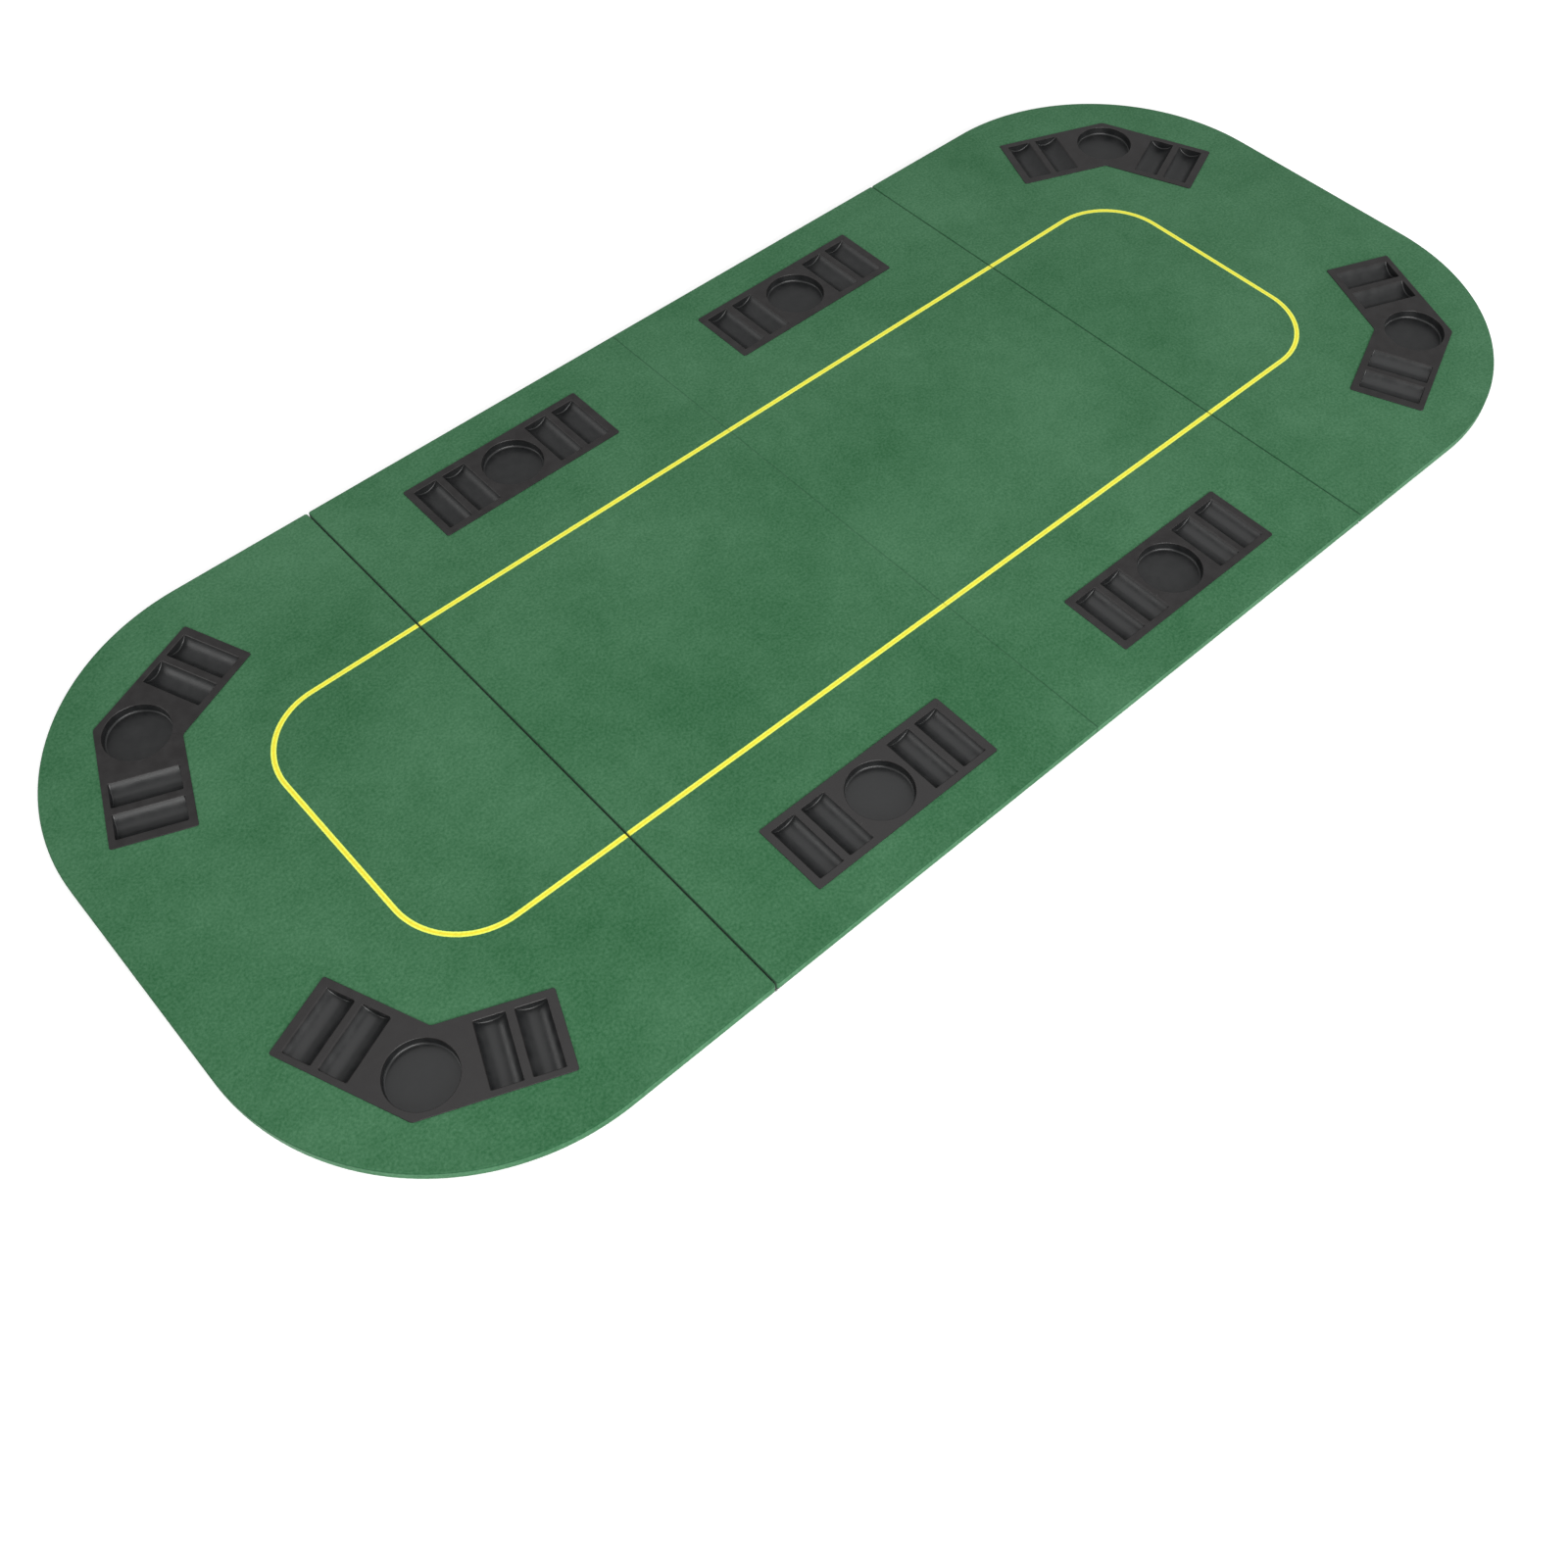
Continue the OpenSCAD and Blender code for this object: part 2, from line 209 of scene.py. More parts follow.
class TraySettings(bpy.types.PropertyGroup):
    wall: FloatProperty(
        name="Wall",
        description="Thickness of the tray's walls",
        default=1.2 * MM,
        unit="LENGTH",
    )
    lip: FloatProperty(
        name="Lip",
        description="Width of the flange that rests on the felt",
        default=6 * MM,
        unit="LENGTH",
    )
    edge: FloatProperty(
        name="Edge rounding",
        description="Radius of the flange's edges and of the edges underneath",
        default=0.5 * MM,
        unit="LENGTH",
    )
    rim: FloatProperty(
        name="Rim rounding",
        description="How far the rims of the cup holder and chip slots round over",
        default=1 * MM,
        unit="LENGTH",
    )
    corner: FloatProperty(
        name="Flange corner",
        description="Radius of the flange's corners",
        default=3 * MM,
        unit="LENGTH",
    )
    opening_corner: FloatProperty(
        name="Opening corner",
        description="Radius of the corners of a straight tray's opening in the felt",
        default=6 * MM,
        unit="LENGTH",
    )
    cup_fillet: FloatProperty(
        name="Cup fillet",
        description="Radius between a cup holder's wall and its floor",
        default=2.5 * MM,
        unit="LENGTH",
    )
    chip_radius: FloatProperty(
        name="Chip slot radius",
        description="Radius of a chip slot's round bottom",
        default=20 * MM,
        unit="LENGTH",
    )
    chip_depth: FloatProperty(
        name="Chip slot depth",
        description="Depth of a chip slot below the flange's top",
        default=11 * MM,
        unit="LENGTH",
    )
    chip_length: FloatProperty(
        name="Chip slot length",
        description="Length of a chip slot, across the tray",
        default=82 * MM,
        unit="LENGTH",
    )
    chip_fillet: FloatProperty(
        name="Chip slot fillet",
        description="Radius between a chip slot's round bottom and its ends",
        default=1.5 * MM,
        unit="LENGTH",
    )
    chip_pitch: FloatProperty(
        name="Chip slot pitch",
        description="Distance between neighbouring chip slots",
        default=45 * MM,
        unit="LENGTH",
    )
    straight_first: FloatProperty(
        name="First slot, straight",
        description="From the middle of the cup to the first slot of a straight tray",
        default=67 * MM,
        unit="LENGTH",
    )
    bent_first: FloatProperty(
        name="First slot, bent",
        description="From the middle of the cup to the first slot of a bent tray",
        default=81 * MM,
        unit="LENGTH",
    )
    leg_length: FloatProperty(
        name="Leg length",
        description="From a bent tray's bend to the end of its leg",
        default=154.5 * MM,
        unit="LENGTH",
    )
    leg_width: FloatProperty(
        name="Leg width",
        description="Width of a bent tray's leg",
        default=99.6 * MM,
        unit="LENGTH",
    )
    bend_shift: FloatProperty(
        name="Bend shift",
        description="How far a bent tray's bend lies inside the middle of its cup",
        default=1 * MM,
        unit="LENGTH",
    )
    leg_angle: FloatProperty(
        name="Leg angle",
        description="Angle between a bent tray's outer point and each of its legs",
        default=math.radians(112.5),
        subtype="ANGLE",
    )
    round_steps: IntProperty(
        name="Steps",
        description="Flat faces round a cup holder or a whole chip slot circle",
        default=96,
        min=24,
    )
    colour: FloatVectorProperty(
        name="Flange",
        description="Colour of the moulded plastic on the flange",
        default=(0.0072, 0.0058, 0.0060),
        subtype="COLOR",
    )
    # Painted light: the pockets' colour is the plastic painted lighter and cooler than the flange, for the light
    # they catch.
    painted_pocket_light: FloatVectorProperty(
        name="Pockets",
        description="Colour of the moulded plastic where it is drawn down into pockets",
        default=(0.0078, 0.0084, 0.0090),
        subtype="COLOR",
    )


class FittingSettings(bpy.types.PropertyGroup):
    foot_radius: FloatProperty(
        name="Foot radius",
        description="Radius of a rubber foot",
        default=12.5 * MM,
        unit="LENGTH",
    )
    foot_rim: FloatProperty(
        name="Foot rim",
        description="Radius of a foot's lower edge",
        default=1 * MM,
        unit="LENGTH",
    )
    foot_wall: FloatProperty(
        name="Foot wall",
        description="Width of the flat ring that a foot stands on",
        default=3.2 * MM,
        unit="LENGTH",
    )
    foot_dish: FloatProperty(
        name="Foot dish",
        description="Depth of the shallow hollow under a foot",
        default=0.7 * MM,
        unit="LENGTH",
    )
    foot_slope: FloatProperty(
        name="Foot slope",
        description="Width of the slope round that hollow",
        default=0.8 * MM,
        unit="LENGTH",
    )
    board_colour: FloatVectorProperty(
        name="Board",
        description="Colour of the raw fibreboard",
        default=(0.40, 0.27, 0.155),
        subtype="COLOR",
    )
    steel_colour: FloatVectorProperty(
        name="Steel",
        description="Colour of the plated steel",
        default=(0.46, 0.46, 0.45),
        subtype="COLOR",
    )


class StageSettings(bpy.types.PropertyGroup):
    camera_place: FloatVectorProperty(
        name="Camera",
        description="Where the camera stands",
        default=(-1.0184, -1.0624, 1.5721),
        subtype="TRANSLATION",
        unit="LENGTH",
    )
    camera_turn: FloatVectorProperty(
        name="Camera turn",
        description="How the camera is turned",
        default=(math.radians(34.069), math.radians(0.379), math.radians(-41.763)),
        subtype="EULER",
        unit="ROTATION",
    )
    lens: FloatProperty(
        name="Lens",
        description="Focal length on a 36 mm sensor, in millimetres",
        default=37.676,
    )
    light: FloatProperty(
        name="Light",
        description="Strength of the light from all round",
        default=0.5,
    )


# ---- Modelling steps ----


def activate(piece):
    bpy.ops.object.select_all(action="DESELECT")
    piece.select_set(True)
    bpy.context.view_layer.objects.active = piece


def settle(piece):
    """Puts the piece's place, turn and size into its mesh, so its object sits at the origin."""
    activate(piece)
    bpy.ops.object.transform_apply(location=True, rotation=True, scale=True)
    return piece


def turn(piece, angle):
    piece.rotation_euler.z = angle
    return settle(piece)


def remove(piece):
    bpy.data.objects.remove(piece)


def add_block(name, low, high):
    low, high = Vector(low), Vector(high)
    bpy.ops.object.select_all(action="DESELECT")
    bpy.ops.mesh.primitive_cube_add(size=1, location=(low + high) / 2, scale=high - low)
    block = bpy.context.object
    block.name = name
    return settle(block)


def add_rod(name, radius, length, place, lying, steps):
    """A cylinder, standing or lying along Y."""
    bpy.ops.object.select_all(action="DESELECT")
    tilt = math.pi / 2 if lying else 0
    bpy.ops.mesh.primitive_cylinder_add(
        vertices=steps, radius=radius, depth=length, location=place, rotation=(tilt, 0, 0)
    )
    rod = bpy.context.object
    rod.name = name
    return settle(rod)


class Editing:
    """Opens a piece in edit mode with nothing selected, and closes it again."""

    def __init__(self, piece, kind="EDGE"):
        self.piece = piece
        self.kind = kind

    def __enter__(self):
        activate(self.piece)
        bpy.ops.object.mode_set(mode="EDIT")
        bpy.ops.mesh.select_mode(type=self.kind)
        bpy.ops.mesh.select_all(action="DESELECT")
        return self

    def __exit__(self, *_):
        bpy.ops.object.mode_set(mode="OBJECT")

    def pick(self, test):
        mesh = bmesh.from_edit_mesh(self.piece.data)
        parts = mesh.edges if self.kind == "EDGE" else mesh.faces
        found = [part for part in parts if test(part)]
        if not found:
            raise RuntimeError(f"{self.piece.name}: nothing to select")
        for part in found:
            part.select_set(True)
        mesh.select_flush_mode()
        bmesh.update_edit_mesh(self.piece.data)


def ends(edge):
    return [vertex.co for vertex in edge.verts]


def all_at(edge, axis, value):
    return all(abs(point[axis] - value) < TINY for point in ends(edge))


def upright(edge):
    a, b = ends(edge)
    return (a - b).xy.length < TINY


def bevel_edges(piece, test, radius, steps):
    with Editing(piece) as edit:
        edit.pick(test)
        bpy.ops.mesh.bevel(
            offset=radius, segments=steps, profile=0.5, affect="EDGES", clamp_overlap=False
        )


def slice_at(piece, place, normal, drop=False, fill=False):
    """Cuts the piece along a plane, and drops what lies on the normal's side if asked."""
    with Editing(piece):
        bpy.ops.mesh.select_all(action="SELECT")
        bpy.ops.mesh.bisect(
            plane_co=place, plane_no=normal, clear_outer=drop, use_fill=fill, threshold=1e-6
        )


def apply_modifier(piece, kind, **settings):
    modifier = piece.modifiers.new(kind.title(), kind)
    for name, value in settings.items():
        setattr(modifier, name, value)
    activate(piece)
    bpy.ops.object.modifier_apply(modifier=modifier.name)


def combine(piece, tool, operation):
    """Cuts the tool out of the piece or joins it on, and uses the tool up."""
    apply_modifier(piece, "BOOLEAN", operation=operation, object=tool, solver="EXACT")
    remove(tool)


def join(pieces, name):
    activate(pieces[0])
    for piece in pieces:
        piece.select_set(True)
    bpy.ops.object.join()
    joined = bpy.context.object
    joined.name = name
    return joined


def tidy_mesh(piece, flat_angle=None):
    """Merges doubles, makes flat faces whole and points every face outwards."""
    with Editing(piece):
        bpy.ops.mesh.select_all(action="SELECT")
        bpy.ops.mesh.remove_doubles(threshold=1e-6)
        if flat_angle:
            bpy.ops.mesh.dissolve_limited(angle_limit=flat_angle)
        bpy.ops.mesh.normals_make_consistent(inside=False)


def smooth(piece, degrees=30):
    """Shades the piece smooth, but keeps its large flat faces flat."""
    activate(piece)
    bpy.ops.object.shade_smooth_by_angle(angle=math.radians(degrees))
    apply_modifier(piece, "WEIGHTED_NORMAL", mode="FACE_AREA", weight=50, keep_sharp=True)


def copy_of(piece, name):
    activate(piece)
    bpy.ops.object.duplicate(linked=False)
    copy = bpy.context.object
    copy.name = name
    return copy


def finish_piece(piece, material, body=None, nodes=()):
    """Gives the piece its material and slot, and says what it rides on and stands for."""
    piece.data.materials.clear()
    piece.data.materials.append(material)
    piece.data.name = piece.name
    if nodes:
        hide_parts(*nodes)
    if body:
        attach(piece, body)


def remember_place(piece):
    """Keeps each point's place at rest, so that a pattern stays on the cloth as it bends."""
    attribute = piece.data.attributes.new("rest_place", "FLOAT_VECTOR", "POINT")
    attribute.data.foreach_set("vector", [x for v in piece.data.vertices for x in v.co])


# ---- Shader building ----


def socket_value(tree, socket, value):
    if isinstance(value, bpy.types.NodeSocket):
        tree.links.new(value, socket)
    else:
        socket.default_value = value


def add_node(tree, kind, inputs=(), **settings):
    node = tree.nodes.new(kind)
    for name, value in settings.items():
        setattr(node, name, value)
    for name, value in dict(inputs).items():
        socket_value(tree, node.inputs[name], value)
    return node


def maths(tree, operation, *values):
    node = add_node(tree, "ShaderNodeMath", operation=operation)
    for socket, value in zip(node.inputs, values):
        socket_value(tree, socket, value)
    return node.outputs[0]


def ramp(tree, value, low, high, start=0.0, end=1.0):
    """Maps value from start..end to low..high, and holds it there."""
    inputs = {
        "Value": value,
        "From Min": start,
        "From Max": end,
        "To Min": low,
        "To Max": high,
    }
    return add_node(tree, "ShaderNodeMapRange", inputs).outputs["Result"]


def blend_colours(tree, factor, first, second):
    node = add_node(tree, "ShaderNodeMix", data_type="RGBA")
    socket_value(tree, node.inputs[0], factor)
    socket_value(tree, node.inputs[6], first)
    socket_value(tree, node.inputs[7], second)
    return node.outputs[2]


def opaque(colour):
    return (*colour, 1.0)


def new_group(name, inputs, outputs):
    """An empty shader node group, with the sockets of its input and output nodes."""
    tree = bpy.data.node_groups.new(name, "ShaderNodeTree")
    for socket, kind, value in inputs:
        made = tree.interface.new_socket(socket, in_out="INPUT", socket_type=kind)
        if value is not None:
            made.default_value = value
    for socket, kind in outputs:
        tree.interface.new_socket(socket, in_out="OUTPUT", socket_type=kind)
    return tree, tree.nodes.new("NodeGroupInput").outputs, tree.nodes.new("NodeGroupOutput").inputs


def group_node(tree, name, inputs):
    """Adds a node of the named group, which is made on its first use, and gives its outputs."""
    if name not in bpy.data.node_groups:
        GROUP_MAKERS[name](name)
    node = tree.nodes.new("ShaderNodeGroup")
    node.node_tree = bpy.data.node_groups[name]
    for socket, value in inputs.items():
        socket_value(tree, node.inputs[socket], value)
    return node.outputs


def noise(tree, place, size, detail=2.0, roughness=0.5):
    """Noise from 0 to 1 whose lumps are about as long as size, in metres."""
    scale = maths(tree, "DIVIDE", 1.0, size)
    inputs = {"Vector": place, "Scale": scale, "Detail": detail, "Roughness": roughness}
    return add_node(tree, "ShaderNodeTexNoise", inputs).outputs["Fac"]


def make_speckle(name):
    """Fine grains inside broad cloudy patches."""
    tree, given, result = new_group(
        name,
        [
            ("Place", "NodeSocketVector", None),
            ("Grain", "NodeSocketFloat", 1 * MM),
            ("Patch", "NodeSocketFloat", 30 * MM),
            ("Patch Share", "NodeSocketFloat", 0.5),
        ],
        [("Value", "NodeSocketFloat"), ("Height", "NodeSocketFloat")],
    )
    fine = noise(tree, given["Place"], given["Grain"], 5.0, 0.6)
    broad = noise(tree, given["Place"], given["Patch"], 3.0, 0.55)
    fine_spread = ramp(tree, fine, 0.0, 1.0, 0.3, 0.7)
    broad_spread = ramp(tree, broad, 0.0, 1.0, 0.3, 0.7)
    value = add_node(
        tree,
        "ShaderNodeMix",
        {"Factor": given["Patch Share"], "A": fine_spread, "B": broad_spread},
    )
    tree.links.new(value.outputs[0], result["Value"])
    tree.links.new(fine_spread, result["Height"])


def make_rounded_line(name):
    """Masks that are 1 on a rounded rectangle's outline, and on the middle of that line."""
    tree, given, result = new_group(
        name,
        [
            ("Place", "NodeSocketVector", None),
            ("Half Length", "NodeSocketFloat", 1.0),
            ("Half Width", "NodeSocketFloat", 0.5),
            ("Corner", "NodeSocketFloat", 0.1),
            ("Stroke", "NodeSocketFloat", 8 * MM),
            ("Ragged", "NodeSocketFloat", 0.5 * MM),
        ],
        [("Mask", "NodeSocketFloat"), ("Core", "NodeSocketFloat")],
    )
    axes = axes_of(tree, given["Place"])
    past = []
    for axis, half in (("X", "Half Length"), ("Y", "Half Width")):
        inner = maths(tree, "SUBTRACT", given[half], given["Corner"])
        past.append(maths(tree, "SUBTRACT", maths(tree, "ABSOLUTE", axes[axis]), inner))
    outside = [maths(tree, "MAXIMUM", value, 0.0) for value in past]
    squares = [maths(tree, "MULTIPLY", value, value) for value in outside]
    reach = maths(tree, "SQRT", maths(tree, "ADD", *squares))
    inside = maths(tree, "MINIMUM", maths(tree, "MAXIMUM", *past), 0.0)
    distance = maths(tree, "SUBTRACT", maths(tree, "ADD", reach, inside), given["Corner"])
    fibre = noise(tree, given["Place"], 0.9 * MM, 1.0)
    frayed = maths(tree, "MULTIPLY", maths(tree, "SUBTRACT", fibre, 0.5), given["Ragged"])
    from_middle = maths(tree, "ADD", maths(tree, "ABSOLUTE", distance), frayed)
    half_stroke = maths(tree, "MULTIPLY", given["Stroke"], 0.5)
    start = maths(tree, "SUBTRACT", half_stroke, 0.25 * MM)
    end = maths(tree, "ADD", half_stroke, 0.25 * MM)
    tree.links.new(ramp(tree, from_middle, 1.0, 0.0, start, end), result["Mask"])
    core_start = maths(tree, "MULTIPLY", given["Stroke"], 0.14)
    core_end = maths(tree, "MULTIPLY", given["Stroke"], 0.30)
    tree.links.new(ramp(tree, from_middle, 1.0, 0.0, core_start, core_end), result["Core"])


def make_moulded_grain(name):
    """The fine pebbled grain of a moulded surface."""
    tree, given, result = new_group(
        name,
        [("Place", "NodeSocketVector", None), ("Size", "NodeSocketFloat", 0.8 * MM)],
        [("Height", "NodeSocketFloat"), ("Shade", "NodeSocketFloat")],
    )
    scale = maths(tree, "DIVIDE", 1.0, given["Size"])
    cells = add_node(
        tree,
        "ShaderNodeTexVoronoi",
        {"Vector": given["Place"], "Scale": scale, "Randomness": 1.0},
        feature="SMOOTH_F1",
    )
    broad = noise(tree, given["Place"], 14 * MM, 2.0)
    tree.links.new(cells.outputs["Distance"], result["Height"])
    tree.links.new(broad, result["Shade"])


def make_drawn_lines(name):
    """Fine lines along one axis, as rolling or drawing leaves on metal and sawing on board."""
    tree, given, result = new_group(
        name,
        [
            ("Place", "NodeSocketVector", None),
            ("Stretch", "NodeSocketVector", (1.0, 1.0, 1.0)),
            ("Size", "NodeSocketFloat", 0.5 * MM),
        ],
        [("Value", "NodeSocketFloat")],
    )
    place = add_node(
        tree,
        "ShaderNodeVectorMath",
        {0: given["Place"], 1: given["Stretch"]},
        operation="MULTIPLY",
    )
    lines = noise(tree, place.outputs[0], given["Size"], 3.0, 0.6)
    tree.links.new(ramp(tree, lines, 0.0, 1.0, 0.3, 0.7), result["Value"])


GROUP_MAKERS = {
    "Speckle": make_speckle,
    "Rounded Line": make_rounded_line,
    "Moulded Grain": make_moulded_grain,
    "Drawn Lines": make_drawn_lines,
}


def new_material(name, plain):
    """A material with a Principled shader, whose plain values are set on its own sockets."""
    material = bpy.data.materials.new(name)
    material.use_nodes = True
    tree = material.node_tree
    surface = tree.nodes["Principled BSDF"].inputs
    for socket, value in plain.items():
        surface[socket].default_value = value
    return material, tree, surface


def object_place(tree):
    return add_node(tree, "ShaderNodeTexCoord").outputs["Object"]


def cloth_place(tree):
    """Where a point of a cloth lies at rest, from what remember_place kept."""
    node = add_node(
        tree, "ShaderNodeAttribute", attribute_type="GEOMETRY", attribute_name="rest_place"
    )
    return node.outputs["Vector"]


def axes_of(tree, place):
    return add_node(tree, "ShaderNodeSeparateXYZ", {"Vector": place}).outputs


def band(tree, value, middle, most, start, end):
    """A mask that is most where value is near middle, and fades to 0 between start and end."""
    away = maths(tree, "ABSOLUTE", maths(tree, "SUBTRACT", value, middle))
    return ramp(tree, away, most, 0.0, start, end)


def add_bump(tree, surface, height, strength, distance):
    bump = add_node(
        tree,
        "ShaderNodeBump",
        {"Height": height, "Strength": strength, "Distance": distance},
    )
    tree.links.new(bump.outputs["Normal"], surface["Normal"])


def shaded_places(tree, place):
    """A mask of painted shade on the felt: in the open seam, along the rolled rim and in the crease.

    The crease fades out towards the middle of the table.
    """
    axes = axes_of(tree, place)
    seam = band(tree, axes["X"], SEAM["fold_left"].x, 0.85, 0.95 * MM, 1.6 * MM)
    rim = band(tree, axes["Z"], FELT_TOP - 0.9 * MM, 0.5, 0.45 * MM, 0.85 * MM)
    crease = band(tree, axes["X"], MIDDLE_SEAM, 0.6, 0.4 * MM, 1.2 * MM)
    outward = ramp(tree, maths(tree, "ABSOLUTE", axes["Y"]), 0.06, 1.0, 0.12, 0.42)
    faded_crease = maths(tree, "MULTIPLY", crease, outward)
    return maths(tree, "MAXIMUM", seam, maths(tree, "MAXIMUM", faded_crease, rim))


def felt_material():
    """Short green nap, cloudy where it was brushed, with the betting line printed on it and painted shade in the
    seam, along the rim and in the crease.
    """
    if "green felt" in bpy.data.materials:
        return bpy.data.materials["green felt"]
    settings = bpy.context.scene.card_table_covers
    material, tree, surface = new_material(
        "green felt",
        {
            "Specular IOR Level": 0.15,
            "Sheen Weight": 0.1,
            "Sheen Roughness": 0.5,
            "Sheen Tint": (0.75, 1.0, 0.82, 1.0),
        },
    )
    place = cloth_place(tree)
    nap = group_node(
        tree,
        "Speckle",
        {"Place": place, "Grain": 3.5 * MM, "Patch": 30 * MM, "Patch Share": 0.23},
    )
    brushed = noise(tree, place, 240 * MM, 2.0)
    tone = maths(tree, "ADD", nap["Value"], ramp(tree, brushed, -0.22, 0.22, 0.3, 0.7))
    green = blend_colours(tree, tone, opaque(settings.dark_colour), opaque(settings.colour))
    line = group_node(
        tree,
        "Rounded Line",
        {
            "Place": place,
            "Half Length": settings.line_half[0],
            "Half Width": settings.line_half[1],
            "Corner": settings.line_corner,
            "Stroke": settings.line_stroke,
            "Ragged": 0.9 * MM,
        },
    )
    worn = ramp(tree, nap["Height"], 0.8, 1.0)
    hem_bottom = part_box("felt_mid_left")[0][2]
    height = axes_of(tree, place)["Z"]
    above_hem = ramp(tree, height, 0.0, 1.0, hem_bottom + 1.2 * MM, hem_bottom + 1.8 * MM)
    ink = maths(tree, "MULTIPLY", maths(tree, "MULTIPLY", line["Mask"], worn), above_hem)
    yellow = blend_colours(
        tree, line["Core"], opaque(settings.line_colour), opaque(settings.core_colour)
    )
    printed = blend_colours(tree, ink, green, yellow)
    # Painted shade: the felt is darkened in the open seam, along its rolled rim and in the crease over the middle
    # seam.
    shade = shaded_places(tree, place)
    shaded = blend_colours(tree, shade, printed, opaque(settings.painted_seam_shade))
    tree.links.new(shaded, surface["Base Color"])
    tree.links.new(ramp(tree, line["Mask"], 0.95, 0.7), surface["Roughness"])
    add_bump(tree, surface, nap["Height"], 0.5, 0.25 * MM)
    return material


def tray_material():
    """Near-black moulded plastic with a fine grain and faint handling marks; its pockets carry painted light, a
    little lighter and cooler than the flange.
    """
    if "moulded plastic" in bpy.data.materials:
        return bpy.data.materials["moulded plastic"]
    settings = bpy.context.scene.card_table_trays
    material, tree, surface = new_material("moulded plastic", {"Specular IOR Level": 0.5})
    place = object_place(tree)
    height = axes_of(tree, place)["Z"]
    # Painted light: below the flange top the plastic is painted lighter and cooler, for the light that falls into
    # the pockets.
    drawn = ramp(tree, height, 1.0, 0.0, TRAY_TOP - 2.5 * MM, TRAY_TOP - 0.3 * MM)
    plastic = blend_colours(tree, drawn, opaque(settings.colour), opaque(settings.painted_pocket_light))
    grain = group_node(tree, "Moulded Grain", {"Place": place, "Size": 0.7 * MM})
    scuffs = ramp(tree, grain["Shade"], 0.0, 0.12, 0.35, 0.75)
    scuffed = blend_colours(tree, scuffs, plastic, (0.05, 0.05, 0.05, 1))
    tree.links.new(scuffed, surface["Base Color"])
    tree.links.new(ramp(tree, grain["Shade"], 0.31, 0.41, 0.3, 0.7), surface["Roughness"])
    add_bump(tree, surface, grain["Height"], 0.2, 0.12 * MM)
    return material


def board_material():
    """Raw fibreboard: pressed fibres in short dark and light flecks."""
    if "fibreboard" in bpy.data.materials:
        return bpy.data.materials["fibreboard"]
    settings = bpy.context.scene.card_table_fittings
    material, tree, surface = new_material("fibreboard", {"Specular IOR Level": 0.2})
    place = object_place(tree)
    flecks = group_node(
        tree,
        "Drawn Lines",
        {"Place": place, "Stretch": (1.0, 1.0, 3.5), "Size": 1.6 * MM},
    )
    clouds = group_node(
        tree,
        "Speckle",
        {"Place": place, "Grain": 0.6 * MM, "Patch": 60 * MM, "Patch Share": 0.5},
    )
    tone = maths(tree, "MULTIPLY", maths(tree, "ADD", flecks["Value"], clouds["Value"]), 0.5)
    dark = opaque([value * 0.72 for value in settings.board_colour])
    light = opaque([value * 1.18 for value in settings.board_colour])
    tree.links.new(blend_colours(tree, tone, dark, light), surface["Base Color"])
    tree.links.new(ramp(tree, tone, 0.75, 0.92), surface["Roughness"])
    add_bump(tree, surface, clouds["Height"], 0.3, 0.15 * MM)
    return material


def steel_material(name, stretch, rough, dull=0.82):
    """Plated steel with rolling lines along one axis, and clouds dulled to a share of its colour."""
    if name in bpy.data.materials:
        return bpy.data.materials[name]
    settings = bpy.context.scene.card_table_fittings
    material, tree, surface = new_material(name, {"Metallic": 1.0})
    place = object_place(tree)
    lines = group_node(
        tree, "Drawn Lines", {"Place": place, "Stretch": stretch, "Size": 0.35 * MM}
    )
    clouds = group_node(
        tree,
        "Speckle",
        {"Place": place, "Grain": 2.5 * MM, "Patch": 11 * MM, "Patch Share": 0.6},
    )
    shade = opaque([value * dull for value in settings.steel_colour])
    plating = blend_colours(tree, clouds["Value"], shade, opaque(settings.steel_colour))
    tree.links.new(plating, surface["Base Color"])
    tree.links.new(ramp(tree, lines["Value"], rough - 0.07, rough + 0.09), surface["Roughness"])
    add_bump(tree, surface, lines["Value"], 0.2, 0.03 * MM)
    return material


def rubber_material():
    """Matt black rubber, dusty where it rubs."""
    if "rubber" in bpy.data.materials:
        return bpy.data.materials["rubber"]
    material, tree, surface = new_material("rubber", {"Specular IOR Level": 0.35})
    place = object_place(tree)
    dust = group_node(
        tree,
        "Speckle",
        {"Place": place, "Grain": 0.5 * MM, "Patch": 7 * MM, "Patch Share": 0.6},
    )
    black, grey = (0.014, 0.014, 0.014, 1), (0.04, 0.038, 0.035, 1)
    tree.links.new(blend_colours(tree, dust["Value"], black, grey), surface["Base Color"])
    tree.links.new(ramp(tree, dust["Value"], 0.62, 0.85), surface["Roughness"])
    add_bump(tree, surface, dust["Height"], 0.3, 0.05 * MM)
    return material


def tape_material():
    """Woven cotton tape: threads one way over threads the other way."""
    if "cotton tape" in bpy.data.materials:
        return bpy.data.materials["cotton tape"]
    material, tree, surface = new_material("cotton tape", {"Sheen Weight": 0.15})
    place = cloth_place(tree)
    threads = []
    for axis in ("X", "Y"):
        wave = add_node(
            tree,
            "ShaderNodeTexWave",
            {"Vector": place, "Scale": 160.0, "Distortion": 0.6, "Detail": 1.0},
            wave_type="BANDS",
            bands_direction=axis,
        )
        threads.append(wave.outputs["Fac"])
    weave = maths(tree, "MAXIMUM", *threads)
    between, thread = (0.42, 0.39, 0.33, 1), (0.66, 0.63, 0.56, 1)
    tree.links.new(blend_colours(tree, weave, between, thread), surface["Base Color"])
    tree.links.new(ramp(tree, weave, 0.95, 0.8), surface["Roughness"])
    add_bump(tree, surface, weave, 0.5, 0.1 * MM)
    return material


# ---- Felt covers ----


